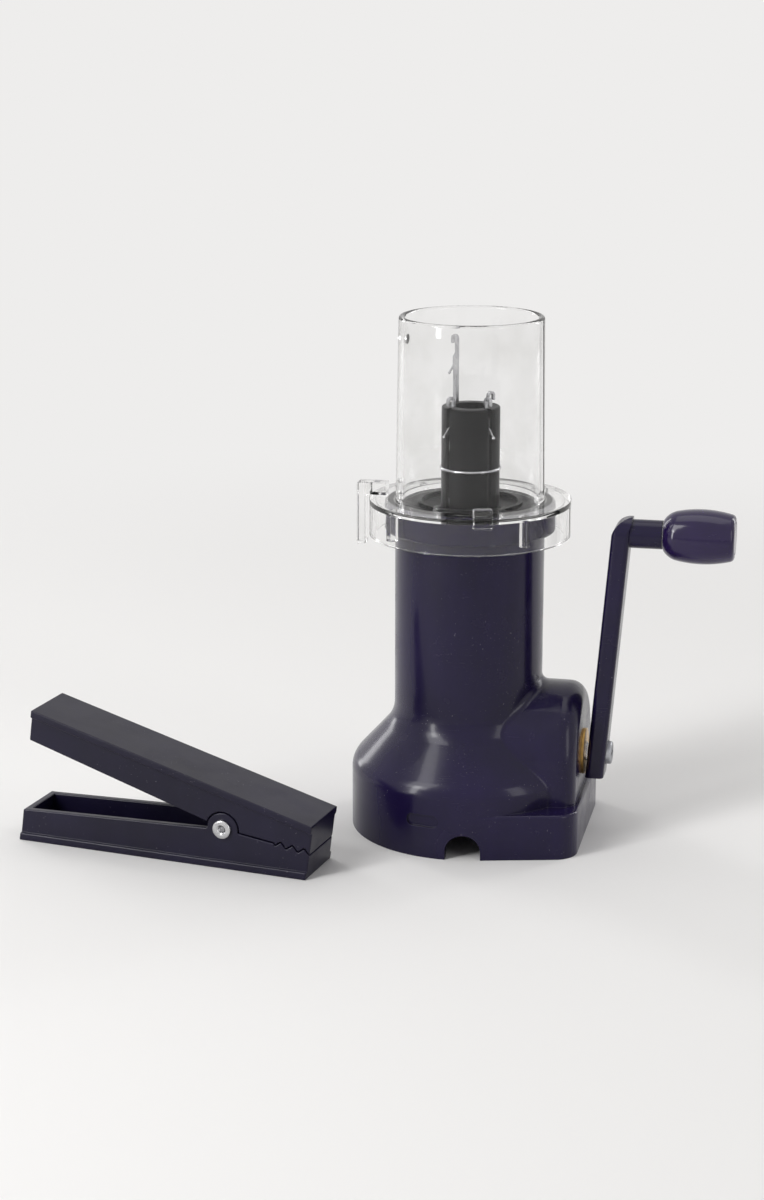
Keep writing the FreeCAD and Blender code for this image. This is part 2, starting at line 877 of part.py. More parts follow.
def about_knob_axis(edges):
    """Solid of revolution about the knob's axis from edges drawn in the XZ plane at Z = 0."""
    solid = face_of(edges).revolve(ORIGIN, RIGHT, 360)
    solid.translate(V(knob_start(), 0, shaft_height + throw))
    return solid


def make_knob():
    end = knob_length
    seat = end - knob_cap_height - knob_axle_head_height - 2 * face_gap
    bore = knob_axle_radius + running_fit
    swell = V(end * knob_swell_share, 0, knob_start_radius + knob_swell)
    shoulder_point = V(end * knob_shoulder_share, 0, knob_shoulder_radius)
    middle = V(end * knob_max_share, 0, knob_max_radius)
    end_point = V(end * knob_end_share, 0, knob_end_radius)
    rim = V(end * knob_rim_share, 0, knob_end_radius - knob_rim_round)
    face = knob_end_radius - knob_face_round
    return about_knob_axis([
        line(V(0, 0, bore), V(0, 0, knob_start_radius)),
        arc(V(0, 0, knob_start_radius), swell, shoulder_point),
        arc(shoulder_point, middle, end_point),
        arc(end_point, rim, V(end, 0, face)),
        line(V(end, 0, face), V(end, 0, knob_cap_radius)),
        line(V(end, 0, knob_cap_radius), V(seat, 0, knob_cap_radius)),
        line(V(seat, 0, knob_cap_radius), V(seat, 0, bore)),
        line(V(seat, 0, bore), V(0, 0, bore)),
    ])


def make_knob_cap():
    end = knob_start() + knob_length
    cap = rod_x(knob_cap_radius, end - knob_cap_height, end, shaft_height + throw)
    return rounded(cap, small_round, lambda edge: edge.BoundBox.XMin > end - 1e-3)


def make_knob_axle():
    seat = knob_length - knob_cap_height - knob_axle_head_height - face_gap
    start = -moving_gap - knob_axle_grip
    return about_knob_axis(loop(xz([
        (start, 0), (start, knob_axle_radius), (seat, knob_axle_radius), (seat, knob_axle_head),
        (seat + knob_axle_head_height, knob_axle_head), (seat + knob_axle_head_height, 0),
    ])))


# ---------------------------------------------------------------- clear cover
def flange_top():
    return collar_top + flange_thickness


def make_clear_cover():
    top = flange_top()
    foot_inner = tube_foot_radius - tube_wall
    top_inner = tube_top_radius - tube_wall
    rim = tube_wall / 2
    skirt_inner = flange_radius - skirt_wall
    shell = lathe([
        line(V(foot_inner, 0, collar_top), V(skirt_inner, 0, collar_top)),
        line(V(skirt_inner, 0, collar_top), V(skirt_inner, 0, skirt_bottom)),
        line(V(skirt_inner, 0, skirt_bottom), V(flange_radius, 0, skirt_bottom)),
        line(V(flange_radius, 0, skirt_bottom), V(flange_radius, 0, top)),
        line(V(flange_radius, 0, top), V(tube_foot_radius, 0, top)),
        line(V(tube_foot_radius, 0, top), V(tube_top_radius, 0, total_height - rim)),
        arc(V(tube_top_radius, 0, total_height - rim), V(tube_top_radius - rim, 0, total_height),
            V(top_inner, 0, total_height - rim)),
        line(V(top_inner, 0, total_height - rim), V(foot_inner, 0, collar_top)),
    ])
    pieces = [shell, lug(), yarn_guide()]
    half = centring_rib_width / 2
    rib = block(collar_radius + moving_gap, skirt_inner + bury, -half, half,
                skirt_bottom + centring_rib_lift, collar_top + bury)
    step = 360.0 / centring_ribs
    pieces += [turned(rib, (k + 0.5) * step) for k in range(centring_ribs)]
    cover = fused(pieces)
    return cut_all(cover, [yarn_hole(), yarn_eye()])


def lug():
    """Thumb lug on the flange's edge, for turning the cover off its seat."""
    half = lug_width / 2
    top = flange_top() + lug_above
    body = block(flange_radius - lug_root, flange_radius + lug_proud, -half, half, top - lug_height, top)
    body = rounded(body, small_round, lambda edge: edge.BoundBox.ZMax > top - 1e-3)
    return turned(body, lug_angle)


def guide_outer():
    return flange_radius + guide_gap + guide_bar


def yarn_guide():
    """Hook that holds the yarn against the skirt, on the side away from the crank."""
    half = guide_width / 2
    top = flange_top() + guide_rise
    low = top - guide_rise - guide_drop
    left = -guide_outer()
    bridge = block(left, guide_root - flange_radius, -half, half, flange_top() - bury, top)
    bar = block(left, left + guide_bar, -half, half, low, top)
    guide = fused([bridge, bar])
    return rounded(guide, guide_round, lambda edge: edge.BoundBox.XMax < left + 1e-3)


def yarn_eye():
    return rod(guide_eye, flange_top() - 1, flange_top() + guide_rise + 1,
               (-flange_radius - guide_gap / 2, 0))


def yarn_hole():
    """Oval hole in the tube's wall, on the yarn guide's side."""
    half = yarn_hole_height / 2
    flat = yarn_hole_width / 2 - half
    left = -tube_foot_radius - tube_wall
    right = -tube_top_radius + 2 * tube_wall
    tools = [rod_x(half, left, right, yarn_hole_z) for _ in (1, 2)]
    for tool, y in zip(tools, (-flat, flat)):
        tool.translate(V(0, y, 0))
    tools.append(block(left, right, -flat, flat, yarn_hole_z - half, yarn_hole_z + half))
    return fused(tools)


# ---------------------------------------------------------------- weight clip
def clip_outer(u):
    """Half height of the closed clip's outer faces at a station along it."""
    return clip_jaw_half + (clip_jaw - u) * tan(clip_half_angle)


def clip_inner(u):
    """Distance of a handle's inner edge from the middle plane, at a station before the pivot."""
    full = clip_outer(-clip_handle) - clip_handle_height
    return clip_gap + (full - clip_gap) * (-u / clip_handle)


def slab(outline, low, high):
    """Side outline (u, height) drawn in XZ, extruded across the clip from low to high."""
    face = face_of(loop([V(u, low, z) for u, z in outline]))
    return face.extrude(V(0, high - low, 0))


def clip_arm():
    """One arm's trough and jaw, on the lower side of the middle plane."""
    half = clip_width / 2
    wall = half - clip_lip
    handle = -clip_handle
    inward = handle + clip_side
    plate = slab([
        (handle, -clip_outer(handle)), (clip_jaw, -clip_outer(clip_jaw)),
        (clip_jaw, -clip_outer(clip_jaw) + clip_plate), (handle, -clip_outer(handle) + clip_plate),
    ], -half, half)
    side_outline = [
        (handle, -clip_outer(handle)), (clip_jaw, -clip_outer(clip_jaw)),
        (clip_jaw, -clip_gap), (0, -clip_gap), (handle, -clip_inner(handle)),
    ]
    sides = [slab(side_outline, -wall, -wall + clip_side), slab(side_outline, wall - clip_side, wall)]
    end_wall = slab([
        (handle, -clip_outer(handle)), (inward, -clip_outer(inward)),
        (inward, -clip_inner(inward)), (handle, -clip_inner(handle)),
    ], -wall, wall)
    jaw = slab([
        (jaw_block_start, -clip_outer(jaw_block_start)), (clip_jaw, -clip_outer(clip_jaw)),
        (clip_jaw, -clip_gap), (jaw_block_start, -clip_gap),
    ], -wall, wall)
    return fused([plate, end_wall, jaw] + sides)


def ear(low, high):
    """Rounded lug about the pivot, carried down to the arm's outer plate."""
    disc = Part.makeCylinder(clip_ear_radius, high - low, V(0, low, 0), BACK)
    foot = -clip_outer(0) + clip_plate / 2
    stem = block(-clip_ear_radius, clip_ear_radius, low, high, foot, 0)
    return disc.fuse(stem).removeSplitter()


def saw_side(side, shift):
    """Everything on one side of the saw line where the jaws' teeth meet, moved by a shift."""
    saw = []
    for k in range(jaw_teeth):
        right = clip_jaw - k * tooth_pitch
        saw += [(right, -tooth_depth / 2), (right - tooth_pitch / 2, tooth_depth / 2)]
    left = clip_jaw - jaw_teeth * tooth_pitch
    room = side * 2 * tooth_depth
    saw += [(left, -tooth_depth / 2), (left, room), (clip_jaw + 1, room),
            (clip_jaw + 1, -tooth_depth / 2)]
    region = slab(saw, -clip_width, clip_width)
    region.translate(V(0, 0, shift))
    return region


def place_clip(shape):
    """Lay the clip on the table, its lower outer face flat, at its place beside the mill."""
    shape.rotate(ORIGIN, BACK, clip_half_angle)
    shape.translate(V(0, 0, clip_outer(0) * cos(clip_half_angle)))
    shape.rotate(ORIGIN, UP, clip_turn)
    shape.translate(V(clip_pivot_x, clip_pivot_y, 0))
    return shape


def upside_down(shape):
    return shape.mirror(ORIGIN, UP)


def across_clip(radius, low, high):
    """Cylinder about the pivot's axis."""
    return Part.makeCylinder(radius, high - low, V(0, low, 0), BACK)


def make_clip_arms():
    wall = clip_width / 2 - clip_lip
    left = clip_jaw - jaw_teeth * tooth_pitch
    teeth = block(left, clip_jaw, -wall, wall, -tooth_depth, tooth_depth)
    lower = clip_arm().cut(saw_side(1, -clip_gap))
    lower = lower.fuse(teeth.common(saw_side(-1, -clip_gap)))
    upper = upside_down(clip_arm()).cut(saw_side(-1, clip_gap))
    upper = upper.fuse(teeth.common(saw_side(1, clip_gap)))
    ear_inner = wall - clip_side
    nested = ear_inner - clip_ear_gap
    for side in (-1, 1):
        low, high = sorted((side * ear_inner, side * wall))
        lower = lower.fuse(ear(low, high))
        upper = upper.cut(across_clip(clip_ear_radius + clip_ear_gap, low - bury, high + bury))
        low, high = sorted((side * nested, side * (nested - clip_inner_ear)))
        upper = upper.fuse(upside_down(ear(low, high)))
    lower = lower.cut(across_clip(clip_pin_radius, -clip_width, clip_width)).removeSplitter()
    hole = clip_pin_radius + running_fit
    upper = upper.cut(across_clip(hole, -clip_width, clip_width)).removeSplitter()
    return place_clip(lower), place_clip(upper)


def make_clip_pin():
    wall = clip_width / 2 - clip_lip
    end = wall + clip_pin_head_height
    heads = [across_clip(clip_pin_head, -end, -wall), across_clip(clip_pin_head, wall, end)]
    pin = fused([across_clip(clip_pin_radius, -wall, wall)] + heads)

    def rim(edge):
        box = edge.BoundBox
        return box.YLength < 1e-3 and abs(abs(box.YMin) - end) < 1e-3

    pin = rounded(pin, small_round, rim)
    bore = across_clip(clip_pin_bore, -end - bury, -end + clip_pin_bore_depth)
    mouth = Part.makeCone(clip_pin_bore + clip_pin_bore_flare, clip_pin_bore, clip_pin_bore_flare,
                          V(0, -end, 0), BACK)
    return place_clip(cut_all(pin, [bore, mouth]))


def make_spring_half(side):
    """Half of the torsion spring: close-wound turns and the leg that pushes on one arm."""
    centre = clip_pin_radius + moving_gap + spring_wire
    thick = spring_wire * 1.02      # the turns are pressed together a little
    stations = [side * (face_gap / 2 + thick + k * 2 * spring_wire) for k in range(spring_turns)]
    turns = [Part.makeTorus(centre, thick, V(0, y, 0), BACK) for y in stations]
    leg_y = stations[-1]
    rest = -clip_outer(-spring_reach) + clip_plate / cos(clip_half_angle) + spring_wire + face_gap
    start = V(0, leg_y, -centre)
    end = V(-spring_reach, leg_y, rest)
    leg = Part.makeCylinder(spring_wire, (end - start).Length, start, end - start)
    tip = Part.makeSphere(spring_wire, end)
    half = fused(turns + [leg, tip])
    if side > 0:
        half = upside_down(half)
    return place_clip(half)


# ---------------------------------------------------------------- write
def main():
    os.makedirs("parts", exist_ok=True)
    lower, upper = make_clip_arms()
    shapes = {
        "housing": make_housing(),
        "bottom_cover": make_bottom_cover(),
        "base_screws": make_base_screws(),
        "shaft_bushing": make_shaft_bushing(),
        "cam_sleeve": make_cam_sleeve(),
        "top_cap": make_top_cap(),
        "clear_cover": make_clear_cover(),
        "needle_cylinder": make_needle_cylinder(),
        "crown_gear": make_crown_gear(),
        "needle_ring": make_needle_ring(),
        "crank_shaft": make_crank_shaft(),
        "drive_pinion": make_drive_pinion(),
        "thrust_washer": make_thrust_washer(),
        "crank_arm": make_crank_arm(),
        "crank_screw": make_crank_screw(),
        "knob_axle": make_knob_axle(),
        "knob": make_knob(),
        "knob_cap": make_knob_cap(),
        "clip_lower_arm": lower,
        "clip_upper_arm": upper,
        "clip_pin": make_clip_pin(),
        "clip_spring_lower": make_spring_half(-1),
        "clip_spring_upper": make_spring_half(1),
    }
    for number, (angle, top) in enumerate(zip(needle_angles(), needle_tops()), start=1):
        shapes["needle_%d" % number] = turned(make_needle(top), angle)
        shapes["latch_%d" % number] = turned(make_latch(top), angle)
    for name, shape in shapes.items():
        shape.exportStep("parts/%s.step" % name)
        print("%-18s solids %d  valid %s  volume %.2f" % (
            name, len(shape.Solids), shape.isValid(), shape.Volume))


main()
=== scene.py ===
import json
import math

import bmesh
import bpy
from mathutils import Matrix, Vector


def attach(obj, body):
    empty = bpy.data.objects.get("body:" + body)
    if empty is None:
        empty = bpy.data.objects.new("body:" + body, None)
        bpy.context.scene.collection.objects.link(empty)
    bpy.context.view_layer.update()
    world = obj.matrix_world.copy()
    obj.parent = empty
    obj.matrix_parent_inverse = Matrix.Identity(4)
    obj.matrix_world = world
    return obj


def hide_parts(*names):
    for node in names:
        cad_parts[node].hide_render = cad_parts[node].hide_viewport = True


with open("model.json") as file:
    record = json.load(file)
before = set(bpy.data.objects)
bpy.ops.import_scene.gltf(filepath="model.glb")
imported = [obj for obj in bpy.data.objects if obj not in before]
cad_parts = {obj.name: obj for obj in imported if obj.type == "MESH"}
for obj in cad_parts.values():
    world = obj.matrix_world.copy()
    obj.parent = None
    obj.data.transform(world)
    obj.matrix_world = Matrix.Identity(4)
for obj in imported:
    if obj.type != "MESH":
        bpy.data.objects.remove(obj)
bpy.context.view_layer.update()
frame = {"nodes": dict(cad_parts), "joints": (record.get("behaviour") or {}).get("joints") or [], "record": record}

# Looks of the hand-cranked i-cord mill and its weight clip. Lengths are in metres.

MM = 0.001

# ---- colours, as sRGB from 0 to 255 ----
VIOLET = (27, 18, 57)
VIOLET_DEEP = (19, 13, 43)
KNOB_VIOLET = (37, 22, 70)
KNOB_DEEP = (27, 15, 54)
CLIP_NAVY = (25, 21, 46)
CLIP_DEEP = (17, 14, 33)
BLACK = (15, 15, 17)
BLACK_DEEP = (10, 10, 12)
CLEAR = (252, 252, 252)
CLEAR_HAZE = (243, 243, 242)
NATURAL = (226, 223, 212)
NATURAL_DEEP = (208, 204, 190)
BRASS = (214, 176, 108)
BRASS_DEEP = (178, 138, 76)
STEEL = (203, 203, 205)
STEEL_DEEP = (168, 168, 172)
ZINC = (176, 178, 182)
ZINC_DEEP = (140, 142, 148)
DUST = (150, 146, 156)
PAPER = (238, 237, 236)

# ---- marks on moulded plastic: width of a feature, then its depth ----
DRIFT = 26 * MM             # slow drift of the tone
FLOW = 5 * MM               # flow marks, longer upward
FLOW_SHARE = 0.35           # of the tone; the drift has the rest
TOUCH = 9 * MM              # patches dulled by handling
TOUCH_DULL = 0.09           # roughness that they add
RIPPLE = 3.2 * MM           # unevenness of a wall
RIPPLE_DEPTH = 0.012 * MM
GRAIN = 0.35 * MM
SCRATCH_SETS = (            # width of a scratch, and the turns in radians that aim it
    (0.3 * MM, (0.3, 0.8, 0.5)),
    (0.25 * MM, (1.2, 0.2, 2.1)),
)
SCRATCH_PATCH = 14 * MM     # patches that hold the scratches
SCRATCH_STRETCH = 40        # length of a scratch over its width
SCRATCH_DULL = 0.12
SCRATCH_DEPTH = 0.002 * MM
DUST_SPECK = 0.5 * MM
DUST_PATCH = 17 * MM
DUST_SHARE = 0.3            # how much of a speck's colour shows

# ---- marks on metal ----
TARNISH = 4 * MM
TARNISH_DULL = 0.08
LINE_DULL = 0.16
LINE_DEPTH = 0.006 * MM

# ---- clear plastic ----
CLEAR_IOR = 1.37            # lower than styrene's, so that the inside stays as dark as in the print
CLEAR_GLOSS = 0.012
CLEAR_CORNER = 0.2 * MM
CLEAR_SCRATCHES = (0.4 * MM, (0.2, 0.1, 0.4))
CLEAR_SCRATCH_DULL = 0.08
HAZE = 11 * MM
HAZE_DULL = 0.03
WAVE = 22 * MM
WAVE_DEPTH = 0.02 * MM

# ---- stage ----
FLOOR_RADIUS = 6.0
FLOOR_SIDES = 96
FADE_START = 0.2            # where the paper starts to turn into the even pale behind it
FADE_END = 0.5
FIBRE = 0.8 * MM
FIBRE_DEPTH = 0.01 * MM
FILL_FRONT = 0.2            # strength of the world's fill at -Y, and at +Y
FILL_BACK = 0.7
FILL_RANGE = (-0.7, 0.6)    # directions' Y between which it grows

# ---- camera ----
VIEW_AZIMUTH = 12           # degrees from the front toward the crank
VIEW_ELEVATION = 15
VIEW_DISTANCE = 0.63
VIEW_TARGET = Vector((-0.0215, -0.008, 0.0615))
VIEW_LENS = 73

# ---- lamps: place, size, power ----
LAMPS = {
    "key_softbox": ((-0.62, -0.62, 0.8), (0.42, 0.7), 5.0),
    "fill_softbox": ((0.95, -0.55, 0.4), (0.3, 0.8), 1.6),
    "top_softbox": ((0.0, 0.1, 1.1), (0.8, 0.6), 1.6),
    "streak_strip": ((-0.5, -0.52, 0.27), (0.09, 0.5), 1.8),
    "rim_strip": ((0.5, 0.55, 0.35), (0.12, 0.7), 1.2),
    "rim_strip_left": ((-0.62, 0.45, 0.35), (0.12, 0.7), 1.2),
}

# ---- clip spring ----
CLIP_HALF_ANGLE = 7.75      # between the clip's middle plane and the table
SPRING_WIRE = 0.6 * MM
SPRING_RADIUS = 2.4 * MM
SPRING_TURNS = 2.25         # in each half
TURN_STEPS = 32
LEG_STEPS = 10
WIRE_FACETS = 4

# ---- CAD nodes ----
WELD_GAP = 0.002 * MM
FLAT_ANGLE = 0.4            # degrees; flatter joins between faces are dissolved
SHARP_ANGLE = 32.0          # degrees; sharper edges are rounded
EDGE_SEGMENTS = 2
FACE_WEIGHT = 60
EDGES = {                   # nodes whose sharp edges get a round, and its radius
    "bottom_cover": 0.2 * MM,
    "top_cap": 0.2 * MM,
    "clip_lower_arm": 0.3 * MM,
    "clip_upper_arm": 0.3 * MM,
}


def linear_value(value):
    """Linear value of one sRGB channel from 0 to 255, by the sRGB curve."""
    share = value / 255
    return share / 12.92 if share <= 0.04045 else ((share + 0.055) / 1.055) ** 2.4


def linear(colour):
    """Linear RGBA of a colour written in sRGB."""
    return tuple(linear_value(value) for value in colour) + (1.0,)


# ---------------------------------------------------------------- materials
class Paint:
    """A Principled material, textured in the part's own coordinates."""

    def __init__(self, name, **constants):
        self.material = bpy.data.materials.new(name)
        self.material.use_nodes = True
        self.tree = self.material.node_tree
        self.shader = self.tree.nodes["Principled BSDF"]
        self.place = self.add("TexCoord").outputs["Object"]
        for socket, value in constants.items():
            self.shader.inputs[socket.replace("_", " ")].default_value = value

    def add(self, kind, settings=None, **inputs):
        """A shader node; inputs are constants or the sockets that feed it."""
        node = self.tree.nodes.new("ShaderNode" + kind)
        for name, value in (settings or {}).items():
            setattr(node, name, value)
        for name, value in inputs.items():
            self.feed(node.inputs[name.replace("_", " ")], value)
        return node

    def feed(self, socket, value):
        if isinstance(value, bpy.types.NodeSocket):
            self.tree.links.new(value, socket)
        else:
            socket.default_value = value

    def noise(self, size, detail=3.0, stretch=(1, 1, 1), turn=(0, 0, 0)):
        """Soft noise whose features are about size across, longer where stretch is large."""
        scale = [1 / s for s in stretch]
        place = self.add("Mapping", Vector=self.place, Scale=scale, Rotation=turn)
        return self.add("TexNoise", Vector=place.outputs["Vector"], Scale=1 / size,
                        Detail=detail).outputs["Fac"]

    def band(self, value, low, high, start=0.0, end=1.0):
        """Value spread from low..high to start..end."""
        node = self.add("MapRange", Value=value, From_Min=low, From_Max=high, To_Min=start, To_Max=end)
        return node.outputs["Result"]

    def math(self, operation, a, b):
        node = self.add("Math", {"operation": operation})
        self.feed(node.inputs[0], a)
        self.feed(node.inputs[1], b)
        return node.outputs[0]

    def mix(self, share, a, b):
        node = self.add("Mix", {"data_type": "RGBA"})
        self.feed(node.inputs[0], share)
        self.feed(node.inputs[6], a)
        self.feed(node.inputs[7], b)
        return node.outputs[2]

    def relief(self, height, depth, strength=1.0, below=None):
        """Bump of a real depth, over the one below it."""
        node = self.add("Bump", Strength=strength, Distance=depth, Height=height)
        if below is not None:
            self.feed(node.inputs["Normal"], below)
        return node.outputs["Normal"]

    def soft_corner(self, radius):
        """Normals that run round sharp edges, as a moulded edge's small round does."""
        return self.add("Bevel", {"samples": 6}, Radius=radius).outputs["Normal"]

    def finish(self, colour, roughness, normal):
        self.feed(self.shader.inputs["Base Color"], colour)
        self.feed(self.shader.inputs["Roughness"], roughness)
        self.feed(self.shader.inputs["Normal"], normal)
        return self.material


def scratches(paint, size, turn):
    """Sparse hairlines along one direction, 1 on a line and 0 off it."""
    lines = paint.noise(size, 2.0, (SCRATCH_STRETCH, 1, 1), turn)
    patches = paint.noise(SCRATCH_PATCH, 2.0)
    fine = paint.band(lines, 0.66, 0.72)
    return paint.math("MULTIPLY", fine, paint.band(patches, 0.5, 0.66))


def dust(paint):
    """Sparse fine specks in a few patches, 1 on a speck and 0 off it."""
    specks = paint.band(paint.noise(DUST_SPECK, 1.0), 0.73, 0.77)
    patches = paint.band(paint.noise(DUST_PATCH, 2.0), 0.47, 0.6)
    return paint.math("MULTIPLY", specks, patches)


def moulded(name, pale, deep, gloss, grain_depth, corner, **constants):
    """Moulded plastic: tone drift, flow and handling marks, dust, fine surface grain."""
    paint = Paint(name, **constants)
    drift = paint.band(paint.noise(DRIFT, 4.0), 0.35, 0.65)
    flow = paint.band(paint.noise(FLOW, 5.0, (1, 1, 6)), 0.3, 0.7)
    tone = paint.math("ADD", paint.math("MULTIPLY", flow, FLOW_SHARE),
                      paint.math("MULTIPLY", drift, 1 - FLOW_SHARE))
    colour = paint.mix(tone, linear(deep), linear(pale))
    colour = paint.mix(paint.math("MULTIPLY", dust(paint), DUST_SHARE), colour, linear(DUST))
    marks = paint.math("MAXIMUM", *(scratches(paint, *settings) for settings in SCRATCH_SETS))
    touch = paint.band(paint.noise(TOUCH, 6.0), 0.42, 0.68)
    roughness = paint.math("ADD", paint.math("MULTIPLY", touch, TOUCH_DULL), gloss)
    roughness = paint.math("ADD", roughness, paint.math("MULTIPLY", marks, SCRATCH_DULL))
    normal = paint.soft_corner(corner)
    normal = paint.relief(paint.noise(RIPPLE, 2.0), RIPPLE_DEPTH, 0.6, normal)
    normal = paint.relief(paint.noise(GRAIN, 3.0), grain_depth, 0.7, normal)
    normal = paint.relief(paint.math("SUBTRACT", 1.0, marks), SCRATCH_DEPTH, 0.25, normal)
    return paint.finish(colour, roughness, normal)


def metal(name, pale, deep, gloss, line, stretch, corner):
    """Bare metal: fine lines along its length, faint tarnish and wear."""
    paint = Paint(name, Metallic=1.0)
    tarnish = paint.band(paint.noise(TARNISH, 5.0), 0.4, 0.7)
    colour = paint.mix(tarnish, linear(pale), linear(deep))
    lines = paint.noise(line, 3.0, stretch)
    roughness = paint.math("ADD", paint.math("MULTIPLY", lines, LINE_DULL), gloss)
    roughness = paint.math("ADD", roughness, paint.math("MULTIPLY", tarnish, TARNISH_DULL))
    normal = paint.relief(lines, LINE_DEPTH, 0.6, paint.soft_corner(corner))
    return paint.finish(colour, roughness, normal)


def clear_moulding():
    """Clear plastic: barely tinted, with faint flow waves and handling haze."""
    paint = Paint("clear_plastic", Transmission_Weight=1.0, IOR=CLEAR_IOR)
    haze = paint.band(paint.noise(HAZE, 5.0), 0.45, 0.75)
    colour = paint.mix(haze, linear(CLEAR), linear(CLEAR_HAZE))
    marks = scratches(paint, *CLEAR_SCRATCHES)
    roughness = paint.math("ADD", paint.math("MULTIPLY", haze, HAZE_DULL), CLEAR_GLOSS)
    roughness = paint.math("ADD", roughness, paint.math("MULTIPLY", marks, CLEAR_SCRATCH_DULL))
    waves = paint.noise(WAVE, 0.0, (1, 1, 3))
    normal = paint.relief(waves, WAVE_DEPTH, 0.12, paint.soft_corner(CLEAR_CORNER))
    return paint.finish(colour, roughness, normal)


def make_materials():
    """One material for each slot of the part."""
    plastics = {
        "mill_plastic": dict(
            pale=VIOLET, deep=VIOLET_DEEP, gloss=0.2, grain_depth=0.0015 * MM, corner=0.25 * MM,
            Specular_IOR_Level=0.24, Coat_Weight=0.13, Coat_Roughness=0.06),
        "knob_plastic": dict(
            pale=KNOB_VIOLET, deep=KNOB_DEEP, gloss=0.14, grain_depth=0.001 * MM, corner=0.2 * MM,
            Specular_IOR_Level=0.34, Coat_Weight=0.22, Coat_Roughness=0.05),
        "clip_plastic": dict(
            pale=CLIP_NAVY, deep=CLIP_DEEP, gloss=0.3, grain_depth=0.003 * MM, corner=0.3 * MM,
            Specular_IOR_Level=0.24, Coat_Weight=0.1, Coat_Roughness=0.15),
        "black_plastic": dict(
            pale=BLACK, deep=BLACK_DEEP, gloss=0.34, grain_depth=0.0006 * MM, corner=0.15 * MM,
            Specular_IOR_Level=0.12),
        "gear_plastic": dict(
            pale=NATURAL, deep=NATURAL_DEEP, gloss=0.38, grain_depth=0.002 * MM, corner=0.15 * MM,
            Subsurface_Weight=0.15, Subsurface_Scale=0.002),
    }
    metals = {
        "bushing_brass": dict(pale=BRASS, deep=BRASS_DEEP, gloss=0.2, line=0.2 * MM,
                              stretch=(30, 1, 1), corner=0.1 * MM),
        "screw_steel": dict(pale=ZINC, deep=ZINC_DEEP, gloss=0.26, line=0.3 * MM,
                            stretch=(1, 6, 6), corner=0.08 * MM),
        "bright_steel": dict(pale=STEEL, deep=STEEL_DEEP, gloss=0.12, line=0.15 * MM,
                             stretch=(1, 1, 30), corner=0.06 * MM),
    }
    made = {slot: moulded(slot, **look) for slot, look in plastics.items()}
    made.update({slot: metal(slot, **look) for slot, look in metals.items()})
    made["clear_plastic"] = clear_moulding()
    return made


# ---------------------------------------------------------------- CAD nodes
def dress(obj, material, edge):
    """The material on a CAD node, and a round of radius edge on its sharp edges, if not 0."""
    mesh = obj.data
    mesh.materials.clear()
    mesh.materials.append(material)
    if not edge:
        return
    normals = mesh.attributes.get("custom_normal")
    if normals is not None:
        mesh.attributes.remove(normals)
    mesh.polygons.foreach_set("use_smooth", [True] * len(mesh.polygons))
    weld = obj.modifiers.new("weld", "WELD")
    weld.merge_threshold = WELD_GAP
    flat = obj.modifiers.new("flat", "DECIMATE")
    flat.decimate_type = "DISSOLVE"
    flat.angle_limit = math.radians(FLAT_ANGLE)
    bevel = obj.modifiers.new("edge", "BEVEL")
    bevel.width = edge
    bevel.segments = EDGE_SEGMENTS
    bevel.limit_method = "ANGLE"
    bevel.angle_limit = math.radians(SHARP_ANGLE)
    bevel.use_clamp_overlap = False
    bevel.miter_outer = "MITER_ARC"
    shade = obj.modifiers.new("shade", "WEIGHTED_NORMAL")
    shade.weight = FACE_WEIGHT
    shade.keep_sharp = False


# ---------------------------------------------------------------- pieces
def put(name, data, material, body):
    """A new piece in the scene that rides on a body."""
    obj = bpy.data.objects.new(name, data)
    bpy.context.scene.collection.objects.link(obj)
    data.materials.append(material)
    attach(obj, body)
    return obj


def clip_axes():
    """The clip's own axes at its pivot: along the middle plane to the jaw, across, and up."""
    hinge = next(joint for joint in frame["joints"] if joint["name"] == "clip_squeeze")
    across = Vector(hinge["axis"]).normalized()
    level = across.cross(Vector((0, 0, 1))).normalized()
    slope = math.radians(CLIP_HALF_ANGLE)
    along = level * math.cos(slope) - Vector((0, 0, 1)) * math.sin(slope)
    columns = Matrix((along, across, along.cross(across))).transposed().to_4x4()
    return Matrix.Translation(Vector(hinge["pos_m"])) @ columns


def wire_piece(name, points, radius, material, body):
    """Round wire along a line of points, closed at its ends."""
    data = bpy.data.curves.new(name, "CURVE")
    data.dimensions = "3D"
    data.bevel_depth = radius
    data.bevel_resolution = WIRE_FACETS
    data.use_fill_caps = True
    spline = data.splines.new("POLY")
    spline.points.add(len(points) - 1)
    for point, place in zip(spline.points, points):
        point.co = (*place, 1)
    spline.use_smooth = True
    return put(name, data, material, body)


def spring_half(name, side, body, node):
    """One half of the clip's torsion spring: turns from the middle outward, and its leg."""
    axes = clip_axes()
    inverse = axes.inverted()
    places = [inverse @ vertex.co for vertex in frame["nodes"][node].data.vertices]
    tip_u = min(place.x for place in places) + SPRING_WIRE
    tips = [place for place in places if place.x < tip_u]
    tip = Vector((tip_u, sum(p.y for p in tips) / len(tips), sum(p.z for p in tips) / len(tips)))
    count = round(SPRING_TURNS * TURN_STEPS)
    points = []
    for step in range(count + 1):
        share = step / count
        angle = math.radians(360 * SPRING_TURNS * share)
        points.append(Vector((SPRING_RADIUS * math.cos(angle), tip.y * share,
                              side * SPRING_RADIUS * math.sin(angle))))
    last = points[-1]
    for step in range(1, LEG_STEPS + 1):
        share = step / LEG_STEPS
        leg = last.lerp(tip, share)
        leg.z = last.z + (tip.z - last.z) * share * share * (3 - 2 * share)
        points.append(leg)
    piece = wire_piece(name, [axes @ point for point in points], SPRING_WIRE,
                       materials["bright_steel"], body)
    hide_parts(node)
    return piece


